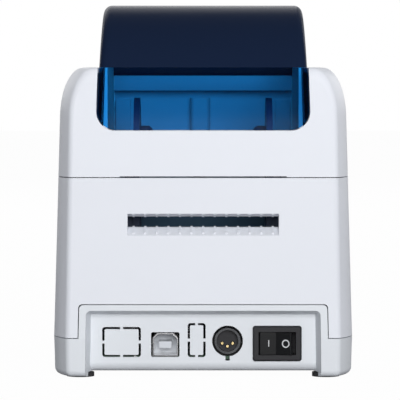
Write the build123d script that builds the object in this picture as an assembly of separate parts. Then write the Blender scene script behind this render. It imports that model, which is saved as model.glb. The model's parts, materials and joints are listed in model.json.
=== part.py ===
from build123d import *
import math
import os

# Desktop label printer, in millimetres. X runs across, +Y to the back, +Z up.
# The origin is under the middle of the case, on the plane of its rubber feet.

# Case
width = 143.0
mech_run = 71.5
bay_radius = 66.5
bay_rear = 7.5
depth = mech_run + 2 * bay_radius + bay_rear
plan_corner = 40.0
corner_beyond = 17.4
end_round = 3.0
draft_angle = 1.65
wall = 2.4
seam_gap = 0.4
seat_gap = 0.3
base_seam = 18.9
body_seam = 95.0
front_seam = 80.0
part_line_knee = -28.0
part_line_run = 34.0
part_line_round = 16.0

# Base with its feet and the raised frame round the sockets
shell_bottom = 0.8
floor_bottom = 2.8
floor_thick = 2.2
frame_top = 34.9
frame_inset = 12.8
frame_spread = 0.7
frame_corner = 2.0
recess_top = 32.3
recess_rim = 3.1
recess_spread = 0.5
recess_corner = 2.5
recess_depth = 8.0
recess_draft = 2.3
panel_thick = 2.0
foot_radius = 6.5
foot_inset_x = 13.0
foot_inset_y = 14.0
foot_pocket = 1.2
foot_block_length = 26.0
foot_block_inset = 16.8
post_radius = 4.0
board_post_radius = 3.0

# Lid: grey shoulders, with a tinted dome between them
shoulder_top = 147.0
shoulder_inset = 11.0
shoulder_drop = 24.0
shoulder_bend_y = 15.0
shoulder_slope = 21.5
dome_margin = 5.0
dome_axis_z = 106.0
dome_slope = 35.0
dome_inset = 20.9
dome_draft = 1.9
dome_wall = 2.2
dome_edge_round = 4.0
dome_front_inset = 9.0
dome_split_y = 25.0
window_bottom = 117.7
window_corner = 9.0
skirt_knee_y = -30.0
skirt_drop = 10.0
rear_relief = 0.4
rear_relief_half = 39.5
rim_fall = 1.4
rim_run = 2.0
cheek_thick = 2.0
cheek_bottom = 98.0
ledge_width = 1.6
ledge_thick = 1.6

# Lid hinge
hinge_inset = 10.0
hinge_rise = 17.0
hinge_pin_radius = 2.0
hinge_knuckle = 4.6
hinge_arm_thick = 3.6
hinge_arm_inset = 17.1
hinge_ear_thick = 3.2
hinge_arm_reach = 24.0
hinge_arm_post = 9.0
hinge_side_gap = 0.6

# Label bay and its roll guides
bay_side_gap = 3.6
bay_floor = 41.5
bay_wall = 2.2
deck_drop = 5.0
roll_half_width = 31.0
guide_thick = 3.0
guide_radius = 26.0
guide_foot_half = 22.0
guide_travel = 23.5
core_radius = 12.2
core_length = 6.0
core_wall = 2.4
guide_neck = 6.0
guide_window_half = 9.0
guide_hole_ring = 19.0
guide_hole_radius = 2.6
rack_module = 0.8
rack_teeth = 16
rack_height = 4.0
rack_back = 3.6
rack_addendum = 0.7
slot_side_gap = 0.5
rack_top = 35.0
pinion_pin_radius = 2.5
guide_flange = 4.2
bay_leg_front = -20.0
bay_leg_back = 76.0
bay_leg_inset = 8.0

# Fan-fold slot in the back
slot_half_width = 35.85
slot_bottom = 68.0
slot_top = 78.1
slot_open_bottom = 71.4
slot_open_top = 76.6
slot_rib_count = 13
slot_rib_pitch = 5.5
slot_rib_thick = 1.0
slot_rib_low = 0.5
slot_rib_high = 0.3
slot_lip_run = 5.0
chute_wall = 2.0
slot_deep = 12.4

# Print mechanism
gear_module = 0.7
gear_face = 4.6
platen_teeth = 24
idler_teeth = 32
motor_teeth = 16
pressure_angle = 20.0
gear_addendum = 0.85
gear_dedendum = 1.2
backlash = 0.16
platen_radius = 7.0
platen_half_length = 31.0
platen_shaft_radius = 3.0
platen_inset = 22.0
platen_top = 80.4
idler_angle = -60.0
motor_angle = -18.0
plate_inner_x = 34.5
plate_thick = 2.0
plate_inset = 11.0
plate_length = 55.0
frame_floor = 7.0
gear_x = 39.2
shaft_stub = 2.0
bushing_radius = 5.0
bushing_flange = 6.6
running_gap = 0.05
motor_side = 35.0
motor_length = 26.0
motor_shaft_radius = 2.5
motor_boss = 8.0
motor_plug = 5.7
motor_shaft_deep = 11.5
idler_pin_radius = 2.0
plate_top = 79.0
frame_margin = 14.0
frame_hole = 9.0
guide_back_gap = 1.9
guide_back_z = 87.4
guide_front_z = 80.0
sensor_run = 21.0
sensor_half = 4.0
sensor_long = 5.0
exit_height = 3.0

# Print head under the front of the lid
liner_inset = 62.0
liner_thick = 2.0
liner_bottom = 88.0
liner_run = 22.0
liner_ledge_z = 110.6
liner_ledge_thick = 2.0
liner_ledge_reach = 7.0
liner_ledge_inset = 12.6
liner_rib_inset = 13.1
liner_rib_wide = 7.5
liner_rib_top = 130.0
liner_rib_reach = 5.0
liner_side_run = 43.0
liner_spine_x = 1.4
liner_spine_wide = 10.0
liner_tab_inset = 4.6
liner_tab_z = 98.0
liner_tab_high = 10.0
head_mount_x = 38.5
head_mount_z = 101.0
head_mount_inset = 54.0
head_sheet = 1.5
head_side_gap = 0.6
head_inset = 14.0
head_thick = 1.3
head_pin_inset = 48.0
head_pin_z = 95.0
head_pin_radius = 1.5
heatsink_top = 90.0
spring_x = 18.0
spring_radius = 4.0
spring_wall = 0.9
spring_room = 1.3
tear_bar_inset = 6.0
tear_bar_thick = 1.0
tear_seat_z = 83.6
tear_tip_z = 80.9
tear_pitch = 2.0
tear_tooth = 1.2
tear_seat_high = 4.0
sink_fin_pitch = 2.2
sink_fin_gap = 1.1

# Sockets and switch, as seen from the back, +X being on the left there
usb_x = 18.0
usb_z = 15.5
usb_wide = 12.04
usb_high = 11.0
usb_hole_wide = 13.5
usb_hole_high = 11.8
jack_x = -11.6
jack_z = 17.2
jack_hole_radius = 7.35
jack_shell_radius = 6.2
jack_shell_wall = 1.05
jack_shell_deep = 8.0
jack_notch = 2.0
jack_pin_ring = 2.9
jack_pin_radius = 0.6
switch_x = -35.2
switch_z = 16.1
switch_wide = 23.25
switch_high = 16.8
switch_step = 1.3
switch_deep = 16.0
rocker_pin = 1.2
rocker_room = 1.0
blade_pitch = 6.0
blade_wide = 4.8
blade_thick = 0.8
rocker_wide = 16.8
rocker_high = 10.6
rocker_tilt = 9.0
rocker_rise = 4.0
rocker_sink = 3.6
switch_proud = 1.6
usb_proud = 0.6
usb_deep = 16.6
usb_wall = 0.5
usb_cut = 2.2
jack_sink = 0.4
knock_slit = 1.1
knock_bridge = 1.4
net_x = 38.8
net_z = 16.7
net_wide = 18.4
net_high = 14.4
host_x = 3.1
host_z = 17.6
host_wide = 8.5
host_high = 16.3
board_top = 9.8
board_thick = 1.6
board_inset = 19.5
board_wide = 74.0
board_rear_gap = 4.0
board_long = 70.0
board_hole = 1.4
board_margin = 4.0
chip_sizes = [
    (42, 22, 14, 14, 1.8),
    (26, 26, 10, 6, 1.4),
    (6, 16, 12, 12, 8.0),
    (62, 6, 8, 14, 6.0),
    (34, 3, 18, 5, 6.0),
]
can_sizes = [(10, 38, 5.0, 14.0), (23, 46, 4.0, 11.0)]

# Fasteners, controls and latches
screw_radius = 1.5
screw_head = 3.2
screw_boss = 3.8
screw_length = 18.0
screw_sink = 1.0
screw_head_thick = 1.6
screw_post_top = 40.0
screw_inset = 3.0
screw_y = 66.0
control_half_x = 22.0
control_half_z = 9.0
control_z = 58.0
control_depth = 1.2
control_corner = 7.0
control_margin = 6.0
control_post = 2.5
panel_proud = 0.3
button_proud = 0.8
button_gap = 0.2
light_gap = 0.1
control_board_inset = 8.6
button_x = 14.0
button_radius = 6.0
button_travel = 0.8
button_stop_inset = 7.0
light_x = -16.0
light_pitch = 8.0
light_radius = 1.5
latch_inset = 31.0
latch_half = 5.0
latch_pad_half = 9.0
latch_pad_thick = 3.0
latch_pad_corner = 3.0
latch_pad_bottom = 58.0
latch_pad_top = 72.0
latch_room = 0.6
latch_pivot_inset = 9.0
latch_pivot_z = 50.0
latch_pin_radius = 1.6
latch_eye = 3.6
latch_arm_thick = 3.2
latch_nose = 0.9
latch_lug = 3.0
latch_pad_inset = 5.0
latch_hook_high = 2.6
catch_top = 77.4
catch_thick = 2.0
catch_plate = 1.4
catch_plate_half = 8.0
catch_plate_high = 12.0

# Places that follow from the sizes above, across the case
frame_half_width = width / 2 - frame_inset
frame_foot_half = frame_half_width + frame_spread
recess_half_width = frame_half_width - recess_rim
recess_foot_half = recess_half_width + recess_spread
foot_block_x = width / 2 - foot_block_inset
dome_half_width = width / 2 - dome_inset
hinge_arm_x = width / 2 - hinge_arm_inset
bay_half_width = dome_half_width - bay_side_gap
liner_ledge_half = dome_half_width - liner_ledge_inset
liner_rib_x = dome_half_width - liner_rib_inset
liner_tab_x = dome_half_width - liner_tab_inset
latch_pivot_x = width / 2 - latch_pivot_inset
latch_inner_x = width / 2 - latch_pad_inset

# Places that are set from the front or the back of the case
dome_axis_y = depth / 2 - bay_rear - bay_radius
dome_radius = bay_radius + dome_margin
slot_inner_y = depth / 2 - slot_deep
platen_y = platen_inset - depth / 2
plate_front = plate_inset - depth / 2
plate_back = plate_front + plate_length
guide_back_y = dome_axis_y - bay_radius - guide_back_gap
guide_front_y = platen_y + platen_radius
sensor_y = guide_front_y + sensor_run
liner_y = liner_inset - depth / 2
liner_front = liner_y - liner_run
head_mount_back = head_mount_inset - depth / 2
head_front = head_inset - depth / 2
head_pin_y = head_pin_inset - depth / 2
tear_bar_y = tear_bar_inset - depth / 2
control_board_y = control_board_inset - depth / 2
button_stop_y = button_stop_inset - depth / 2
latch_y = latch_inset - depth / 2

# The socket panel, and what is set from it
panel_y = depth / 2 - recess_depth
panel_back = panel_y - panel_thick
rocker_y = panel_y - rocker_sink
switch_face = panel_y + switch_proud
usb_face = panel_y + usb_proud
usb_back = usb_face - usb_deep
jack_front = panel_y - jack_sink
board_x1 = width / 2 - board_inset
board_x0 = board_x1 - board_wide
board_y1 = panel_y - board_rear_gap
board_y0 = board_y1 - board_long

os.makedirs("parts", exist_ok=True)


def save(shape, name):
    export_step(shape, f"parts/{name}.step")


def half_width_at(z):
    return width / 2 - (z - base_seam) * math.tan(math.radians(draft_angle))


def half_depth_at(z):
    return depth / 2 - (z - base_seam) * math.tan(math.radians(draft_angle))


# A closed face through (u, v) or (u, v, radius) corners
def outline(*corners):
    points = [Vector(c[0], c[1]) for c in corners]
    radii = [c[2] if len(c) > 2 else 0.0 for c in corners]
    bends = []
    for i, point in enumerate(points):
        before = (points[i - 1] - point).normalized()
        after = (points[(i + 1) % len(points)] - point).normalized()
        half = math.radians(before.get_angle(after)) / 2
        middle = (before + after).normalized()
        if radii[i] > 0:
            reach = radii[i] / math.tan(half)
            peak = point + middle * (radii[i] / math.sin(half) - radii[i])
            bends.append((point + before * reach, peak, point + after * reach))
        else:
            bends.append((point, None, point))
    edges = []
    for i, (start, peak, end) in enumerate(bends):
        if peak:
            edges.append(ThreePointArc(start, peak, end))
        following = bends[(i + 1) % len(bends)][0]
        if (following - end).length > 1e-5:
            edges.append(Line(end, following))
    return make_face(edges)


# Prisms along each axis: faces are drawn in (Y, Z), (X, Z) and (X, Y)
def along_x(face, x0, x1):
    return extrude(Plane.YZ.offset(x0) * face, amount=x1 - x0, dir=(1, 0, 0))


def along_y(face, y0, y1):
    return extrude(Plane.XZ.offset(-y0) * face, amount=y1 - y0, dir=(0, 1, 0))


def along_z(face, z0, z1):
    return extrude(Plane.XY.offset(z0) * face, amount=z1 - z0, dir=(0, 0, 1))


def block(x0, x1, y0, y1, z0, z1):
    size = Box(abs(x1 - x0), abs(y1 - y0), abs(z1 - z0))
    return Pos((x0 + x1) / 2, (y0 + y1) / 2, (z0 + z1) / 2) * size


def rod_x(radius, x0, x1, y, z):
    return Pos((x0 + x1) / 2, y, z) * Rot(0, 90, 0) * Cylinder(radius, abs(x1 - x0))


def rod_y(radius, y0, y1, x, z):
    return Pos(x, (y0 + y1) / 2, z) * Rot(90, 0, 0) * Cylinder(radius, abs(y1 - y0))


def rod_z(radius, z0, z1, x, y):
    return Pos(x, y, (z0 + z1) / 2) * Cylinder(radius, abs(z1 - z0))


def mirrored(shape):
    return mirror(shape, about=Plane.YZ)


# Case form with its draft, shrunk by an inset, from one level up to another
def case_prism(z0, z1, inset=0.0):
    lean = math.tan(math.radians(draft_angle))
    low = inset + (z0 - base_seam) * lean
    high = inset + (z1 - base_seam) * lean
    form = sharp_block(z0, z1, low, high)
    return fillet(end_corners(form, low, high), inner_round(inset))


# Its long corners curve in to narrower flat ends. It is drawn past the ends,
# shrunk by one inset at the low level and another at the high one, and cut.
def sharp_block(z0, z1, low, high):
    slant = math.degrees(math.atan((high - low) / (z1 - z0)))
    form = extrude(Plane.XY.offset(z0) * plan_face(low), amount=z1 - z0, taper=slant)
    return form & between_ends(z0, z1, low, high)


def plan_face(inset):
    long = depth + 2 * corner_beyond
    return RectangleRounded(width - 2 * inset, long - 2 * inset, plan_corner - inset)


def between_ends(z0, z1, low, high):
    half = depth / 2
    ends = outline((low - half, z0), (half - low, z0), (half - high, z1), (high - half, z1))
    return along_x(ends, -width, width)


def end_edges(form, low, high):
    near = depth / 2 - max(low, high) - 0.1
    return [e for e in form.edges() if min(abs((e @ t).Y) for t in (0, 0.5, 1)) > near]


def end_corners(form, low, high):
    return [e for e in end_edges(form, low, high) if is_upright(e)]


def inner_round(inset):
    return max(end_round - inset, 0.5)


def is_upright(edge):
    rise = abs((edge @ 1).Z - (edge @ 0).Z)
    return rise > 0.8 * edge.length


# Everything below the parting line between body and lid, raised by a lift
def below_part_line(lift, half_span=width):
    reach = depth
    face = outline(
        (-reach, -reach + lift),
        (reach, -reach + lift),
        (reach, body_seam + lift),
        (part_line_knee, body_seam + lift, part_line_round),
        (part_line_knee - part_line_run, front_seam + lift, part_line_round),
        (-reach, front_seam + lift),
    )
    return along_x(face, -half_span, half_span)


# Lid form: drafted walls with a rounded brow that is taller than it is deep.
# It is drawn squeezed in height, rounded evenly, cut to its flat ends, and
# stretched back.
def brow_form(inset):
    squeeze = shoulder_drop / shoulder_inset
    top = (shoulder_top - inset - base_seam) / squeeze
    steep = math.tan(math.radians(draft_angle)) * squeeze
    form = extrude(plan_face(inset), amount=top, taper=math.degrees(math.atan(steep)))
    fall = math.tan(math.radians(shoulder_slope)) / squeeze
    reach = depth
    over = outline(
        (shoulder_bend_y, top, 90.0),
        (shoulder_bend_y - reach, top - fall * reach),
        (shoulder_bend_y - reach, top + reach),
        (reach, top + reach),
        (reach, top),
    )
    form -= along_x(over, -width, width)
    brow = [e for e in form.edges() if e.center().Z > top / 3 and not is_upright(e)]
    form = fillet(brow, shoulder_inset - inset)
    high = inset + top * steep
    form = form & between_ends(0, top, inset, high)
    rims = [e for e in end_edges(form, inset, high) if e.center().Z > 1.0]
    form = fillet(rims, inner_round(inset))
    return Pos(0, 0, base_seam) * scale(form, by=(1, 1, squeeze))


# Dome form: a round crown that runs down a straight slope to the front
def dome_form(inset):
    radius = dome_radius - inset
    turn = math.radians(90 + dome_slope)
    crown = (dome_axis_y, dome_axis_z + radius)
    foot = (dome_axis_y + radius, dome_axis_z)
    brow = math.radians(90 + dome_slope / 2)
    top_mid = (dome_axis_y + radius * math.cos(brow), dome_axis_z + radius * math.sin(brow))
    tangent = (dome_axis_y + radius * math.cos(turn), dome_axis_z + radius * math.sin(turn))
    front = -half_depth_at(front_seam) + dome_front_inset + inset
    front_z = tangent[1] - (tangent[0] - front) * math.tan(math.radians(dome_slope))
    low = front_seam - wall
    rear_mid = math.radians(45)
    rear = (dome_axis_y + radius * math.cos(rear_mid), dome_axis_z + radius * math.sin(rear_mid))
    face = make_face(
        [
            ThreePointArc(foot, rear, crown),
            ThreePointArc(crown, top_mid, tangent),
            Line(tangent, (front, front_z)),
            Line((front, front_z), (front, low)),
            Line((front, low), (foot[0], low)),
            Line((foot[0], low), foot),
        ]
    )
    lean = math.tan(math.radians(dome_draft))
    low_half = dome_half_width - inset + lean * (window_bottom - low)
    crown_half = dome_half_width - inset - lean * (crown[1] - window_bottom)
    sides = outline(
        (-low_half, low),
        (low_half, low),
        (crown_half, crown[1]),
        (-crown_half, crown[1]),
    )
    form = along_x(face, -low_half, low_half) & along_y(sides, -depth, depth)
    rims = [e for e in form.edges() if runs_over_dome(e, crown_half)]
    return fillet(rims, dome_edge_round - inset * 0.8)


# Edges along the dome's two sides, above the level of its axis
def runs_over_dome(edge, crown_half):
    spot = edge @ 0.5
    slant = abs((edge @ 1).Z - (edge @ 0).Z)
    above = spot.Z > dome_axis_z + 0.2 * dome_radius
    return above and slant > 1.0 and abs(spot.X) > 0.9 * crown_half


# Where the lid turns, inside its back wall and above the parting line
hinge_y = half_depth_at(body_seam) - hinge_inset
hinge_z = body_seam + hinge_rise
deck_top = body_seam - deck_drop
floor_top = floor_bottom + floor_thick
rack_pitch_radius = rack_module * rack_teeth / 2
platen_z = platen_top - platen_radius
idler_reach = gear_module * (platen_teeth + idler_teeth) / 2
idler_y = platen_y + idler_reach * math.cos(math.radians(idler_angle))
idler_z = platen_z + idler_reach * math.sin(math.radians(idler_angle))
motor_reach = gear_module * (idler_teeth + motor_teeth) / 2
motor_y = idler_y + motor_reach * math.cos(math.radians(motor_angle))
motor_z = idler_z + motor_reach * math.sin(math.radians(motor_angle))
dome_front_y = dome_front_inset - half_depth_at(front_seam)
shoulder_front_fall = (shoulder_bend_y - dome_front_y) * math.tan(math.radians(shoulder_slope))
skirt_front_z = shoulder_top - shoulder_front_fall - skirt_drop
skirt_front_half = dome_half_width + (window_bottom - skirt_front_z) * math.tan(math.radians(dome_draft))
cheek_x = skirt_front_half + seat_gap


# Base: tray, foot blocks and the recessed socket panel in its raised frame
def frame_outline(grow):
    low = 2 * frame_foot_half - frame_half_width
    return outline(
        (-low - grow, -frame_top),
        (low + grow, -frame_top),
        (frame_half_width + grow, frame_top + grow, frame_corner),
        (-frame_half_width - grow, frame_top + grow, frame_corner),
    )


def recess_cut():
    low = 2 * recess_foot_half - recess_half_width
    face = outline(
        (-low, -recess_top),
        (low, -recess_top),
        (recess_half_width, recess_top, recess_corner),
        (-recess_half_width, recess_top, recess_corner),
    )
    start = Plane(origin=(0, depth / 2, 0), x_dir=(-1, 0, 0), z_dir=(0, 1, 0))
    slant = math.degrees(math.atan(recess_draft / recess_depth))
    return extrude(start * face, amount=-recess_depth, taper=slant)


def base_shell():
    low = (base_seam - shell_bottom) * math.tan(math.radians(draft_angle))
    tray = sharp_block(shell_bottom, base_seam, low, 0)
    foot_edges = tray.faces().sort_by(Axis.Z)[0].edges()
    tray = fillet(foot_edges + end_corners(tray, low, 0), end_round)
    frame = case_prism(base_seam, frame_top) & along_y(frame_outline(0), panel_back, depth)
    cavity = sharp_block(floor_top, frame_top, wall, wall)
    step = recess_foot_half + panel_thick
    cavity -= block(-step, step, panel_back, depth, 0, frame_top + 1)
    foot_y = depth / 2 - foot_block_length
    under = block(-foot_block_x, foot_block_x, -depth, depth, 0, floor_bottom)
    under += block(-width, width, -foot_y, foot_y, 0, floor_bottom)
    shell = tray + frame - cavity - recess_cut() - under
    lip = [e for e in shell.edges() if is_panel_foot(e)]
    shell = fillet(lip, floor_thick + panel_thick)
    for x, y in foot_places():
        shell -= rod_z(foot_radius + running_gap, 0, shell_bottom + foot_pocket, x, y)
    for x, y in board_posts():
        shell += rod_z(board_post_radius, floor_top - 0.5, board_top - board_thick, x, y)
    for x, y in screw_places():
        shell -= rod_z(screw_head + seat_gap, 0, floor_bottom + screw_sink, x, y)
        shell -= rod_z(screw_radius + seat_gap, 0, floor_top + 1, x, y)
    for x, y in frame_posts():
        shell += rod_z(post_radius, floor_top - 0.5, frame_floor, x, y)
    return shell - panel_holes()


def is_panel_foot(edge):
    spot = edge.center()
    return abs(spot.Y - panel_y) < 0.01 and abs(spot.Z - floor_bottom) < 0.01


def foot_places():
    x = width / 2 - foot_inset_x
    y = depth / 2 - foot_inset_y
    return [(x, y), (-x, y), (x, -y), (-x, -y)]


def board_posts():
    x0 = board_x0 + board_margin
    x1 = board_x1 - board_margin
    y0 = board_y0 + board_margin
    return [(x0, y0), (x1, y0), (x1, board_y1 - board_margin)]


def frame_posts():
    x = plate_inner_x - 6
    return [(x, plate_front + 8), (-x, plate_front + 8), (x, plate_back - 8), (-x, plate_back - 8)]


def screw_places():
    x = half_width_at(base_seam) - wall - screw_boss - screw_inset
    return [(x, screw_y), (-x, screw_y), (x, -screw_y), (-x, -screw_y)]


# Holes of the sockets, and slits round the two knock-outs with their bridges
def panel_holes():
    holes = along_y(centred(usb_hole_wide, usb_hole_high, usb_x, usb_z, 0.8), panel_back - 1, depth)
    holes += rod_y(jack_hole_radius, panel_back - 1, depth, jack_x, jack_z)
    half = jack_notch / 2
    low = jack_z - jack_hole_radius - jack_notch
    holes += block(jack_x - half, jack_x + half, panel_back - 1, depth, low, jack_z)
    gap = 2 * (switch_step - 0.2)
    body = centred(switch_wide - gap, switch_high - gap, switch_x, switch_z, 0.8)
    holes += along_y(body, panel_back - 1, depth)
    holes += knock_out(net_x, net_z, net_wide, net_high)
    holes += knock_out(host_x, host_z, host_wide, host_high)
    return holes


def centred(wide, high, x, z, rounding):
    return Pos(x, z) * RectangleRounded(wide, high, rounding)


def knock_out(x, z, wide, high):
    ring = centred(wide, high, x, z, 1.4)
    ring -= centred(wide - 2 * knock_slit, high - 2 * knock_slit, x, z, 0.6)
    ring -= Pos(x, z) * Rectangle(knock_bridge, high + 2)
    ring -= Pos(x, z) * Rectangle(wide + 2, knock_bridge)
    return along_y(ring, panel_back - 1, panel_y + 1)


# Body: drafted walls from the base to the parting line
def housing_shell():
    bottom = base_seam + seam_gap
    outer = case_prism(bottom, body_seam + 2) & below_part_line(0)
    shell = outer - case_prism(bottom, body_seam + 3, wall)
    shell -= along_y(frame_outline(seam_gap), panel_back - 2, depth)
    shell -= rim_ramp()
    shell = shell + slot_chute() - slot_throat() + slot_ribs()
    for x, y in screw_places():
        out = math.copysign(half_width_at(base_seam) - wall / 2, x)
        post = rod_z(screw_boss, floor_top + seat_gap, screw_post_top, x, y)
        post += block(x, out, y - 1, y + 1, bottom, screw_post_top)
        shell = shell + post - rod_z(screw_radius, 0, screw_length, x, y)
    shell -= front_pocket()
    for x in (-control_half_x, control_half_x):
        front = -half_depth_at(control_z) + wall / 2
        shell += rod_y(control_post, front, control_board_y, x, control_z - control_half_z)
    for side in (1, -1):
        shell -= latch_window(side)
        shell += latch_lugs(side)
    return shell


# The inner top edge of the back wall slopes in, so that the lid can swing past
def rim_ramp():
    level = body_seam - rim_fall
    low = wall + depth / 2 - half_depth_at(level)
    ramp = sharp_block(level, body_seam, low, low - rim_run)
    ramp += sharp_block(body_seam, body_seam + 1, low - rim_run, low - rim_run - 0.01)
    return ramp & block(-width, width, hinge_y - hinge_inset, depth, level, body_seam + 1)


def slot_chute():
    out = half_depth_at(slot_bottom) - wall / 2
    half = slot_half_width + chute_wall
    top = slot_open_top + chute_wall
    return block(-half, half, slot_inner_y, out, slot_open_bottom - chute_wall, top)


def slot_throat():
    face_y = half_depth_at(slot_top)
    neck_y = face_y - slot_lip_run
    mouth = outline(
        (face_y + slot_lip_run, 2 * slot_bottom - slot_open_bottom),
        (face_y + slot_lip_run, 2 * slot_top - slot_open_top),
        (neck_y, slot_open_top),
        (slot_inner_y - 1, slot_open_top),
        (slot_inner_y - 1, slot_open_bottom),
        (neck_y, slot_open_bottom),
    )
    return along_x(mouth, -slot_half_width, slot_half_width)


# Thin ribs that stand on both lips and carry the paper's edges clear of them
def slot_ribs():
    face_y = half_depth_at(slot_top)
    neck_y = face_y - slot_lip_run
    ribs = Part()
    span = (slot_rib_count - 1) * slot_rib_pitch
    for i in range(slot_rib_count):
        x = i * slot_rib_pitch - span / 2
        lower = outline(
            (face_y - 0.6, slot_bottom - 0.2),
            (face_y - 0.6, slot_bottom + 1.2),
            (neck_y, slot_open_bottom + slot_rib_low),
            (slot_inner_y + 1, slot_open_bottom + slot_rib_low),
            (slot_inner_y + 1, slot_open_bottom - 0.5),
            (neck_y, slot_open_bottom - 0.5),
        )
        upper = outline(
            (face_y - 0.8, slot_top + 0.2),
            (face_y - 0.8, slot_top - 0.6),
            (neck_y, slot_open_top - slot_rib_high),
            (neck_y - 1.5, slot_open_top + 0.5),
            (neck_y, slot_open_top + 0.5),
        )
        half = slot_rib_thick / 2
        ribs += along_x(lower, x - half, x + half)
        ribs += along_x(upper, x - half, x + half)
    return ribs


# Shallow pocket for the control panel, with holes for the button and lights
def front_pocket():
    face = control_outline(seam_gap / 2)
    pocket = along_y(face, -depth, 0) - case_prism(base_seam, body_seam, control_depth)
    pocket += rod_y(button_radius + button_gap, -depth / 2, control_board_y, button_x, control_z)
    for x in light_places():
        pocket += rod_y(light_radius + light_gap, -depth / 2, control_board_y, x, control_z)
    return pocket


def control_outline(grow):
    half_x = control_half_x + control_margin + grow
    half_z = control_half_z + grow
    return centred(2 * half_x, 2 * half_z, 0, control_z, control_corner)


def light_places():
    return [light_x, light_x + light_pitch]


def latch_window(side):
    face = latch_outline(seam_gap) + Pos(0, latch_room) * latch_outline(seam_gap)
    if side > 0:
        return along_x(face, latch_inner_x, width)
    return along_x(face, -width, -latch_inner_x)


def latch_outline(grow):
    half = latch_pad_half + grow
    return outline(
        (latch_y - half, latch_pad_bottom - grow, latch_pad_corner),
        (latch_y + half, latch_pad_bottom - grow, latch_pad_corner),
        (latch_y + half, latch_pad_top + grow, latch_pad_corner),
        (latch_y - half, latch_pad_top + grow, latch_pad_corner),
    )


def latch_lugs(side):
    lugs = Part()
    for y in (latch_y - latch_half - seat_gap - latch_lug, latch_y + latch_half + seat_gap):
        out = half_width_at(latch_pivot_z) - wall / 2
        end = y + latch_lug
        lug = block(latch_pivot_x, out, y, end, latch_pivot_z - latch_eye, latch_pivot_z + latch_eye)
        lug += rod_y(latch_eye, y, end, latch_pivot_x, latch_pivot_z)
        lugs += lug - rod_y(latch_pin_radius, y - 1, end + 1, latch_pivot_x, latch_pivot_z)
    return lugs if side > 0 else mirrored(lugs)


# Release lever: a pad in the side wall, an arm and a hook behind the lid's catch
def latch_lever():
    pad = case_prism(base_seam, body_seam) - case_prism(base_seam, body_seam, latch_pad_thick)
    pad &= along_x(latch_outline(0), latch_inner_x, width)
    inner = latch_pivot_x - latch_arm_thick / 2
    outer = latch_pivot_x + latch_arm_thick / 2
    arm = outline(
        (inner, latch_pivot_z - 1.0),
        (outer, latch_pivot_z - 1.0),
        (outer, catch_top + 2 * seat_gap),
        (outer + latch_nose, catch_top + 3 * seat_gap),
        (latch_pivot_x + 0.6, catch_top + latch_hook_high),
        (inner, catch_top + latch_hook_high),
    )
    lever = along_y(arm, latch_y - latch_half, latch_y + latch_half)
    lever += rod_y(latch_eye, latch_y - latch_half, latch_y + latch_half, latch_pivot_x, latch_pivot_z)
    back = half_width_at(latch_pad_top) - latch_pad_thick + 0.4
    for z in (latch_pad_bottom + 3, latch_pad_top - 3):
        lever += block(latch_pivot_x, back, latch_y - latch_half, latch_y + latch_half, z - 1, z + 1)
    lever += pad
    bore = latch_pin_radius + running_gap
    end = latch_y + latch_pad_half
    return lever - rod_y(bore, latch_y - latch_pad_half, end, latch_pivot_x, latch_pivot_z)


def latch_pins():
    reach = latch_half + seat_gap + latch_lug
    pin = rod_y(latch_pin_radius, latch_y - reach, latch_y + reach, latch_pivot_x, latch_pivot_z)
    return pin + mirrored(pin)


# Bay: a curved tub for the roll, hung from a deck that closes the body
def label_bay():
    span = case_prism(base_seam, body_seam, wall + seat_gap)
    deck = (below_part_line(-deck_drop) - below_part_line(-deck_drop - bay_wall)) & span
    over = rod_x(bay_radius, -bay_half_width, bay_half_width, dome_axis_y, dome_axis_z)
    over -= block(-width, width, -depth, depth, 0, bay_floor)
    around_half = bay_half_width + bay_wall
    around = rod_x(bay_radius + bay_wall, -around_half, around_half, dome_axis_y, dome_axis_z)
    around -= block(-width, width, -depth, depth, 0, bay_floor - bay_wall)
    around -= block(-width, width, -depth, depth, deck_top - 0.5, body_seam + depth)
    bay = deck + around - over
    front_gap = plate_inner_x + plate_thick + shaft_stub + 1.0
    bay -= block(-front_gap, gear_x + gear_face + 2, -depth, -part_line_run, 0, body_seam)
    chute = slot_half_width + chute_wall + seat_gap
    low = slot_open_bottom - chute_wall - seat_gap
    bay -= block(-chute, chute, dome_axis_y, depth, low, slot_open_top + chute_wall + seat_gap)
    for side in (1, -1):
        x0, x1 = sorted((side * (latch_pivot_x - 7), side * (latch_pivot_x + 4)))
        half = latch_half + 1.5
        bay -= block(x0, x1, latch_y - half, latch_y + half, 0, body_seam)
        neck = rack_pitch_radius + rack_module * rack_addendum + 1.0
        y0, y1 = sorted((dome_axis_y + side * (neck + 0.6), dome_axis_y + side * (neck + 3.6)))
        inner = side * (roll_half_width - guide_travel - slot_side_gap)
        outer = side * (roll_half_width + guide_thick + slot_side_gap)
        x0, x1 = sorted((inner, outer))
        bay -= block(x0, x1, y0, y1, 0, bay_floor + 1)
    bay += rod_z(pinion_pin_radius + 2.5, rack_top + seat_gap, bay_floor - 1, 0, dome_axis_y)
    bay += rod_z(pinion_pin_radius, rack_top - rack_height, bay_floor - 1, 0, dome_axis_y)
    for x, y in bay_legs():
        bay += rod_z(post_radius, floor_top, deck_top - 1, x, y)
    return bay


def bay_legs():
    x = half_width_at(body_seam) - wall - bay_leg_inset
    return [(x, bay_leg_front), (-x, bay_leg_front), (x, bay_leg_back), (-x, bay_leg_back)]


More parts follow.
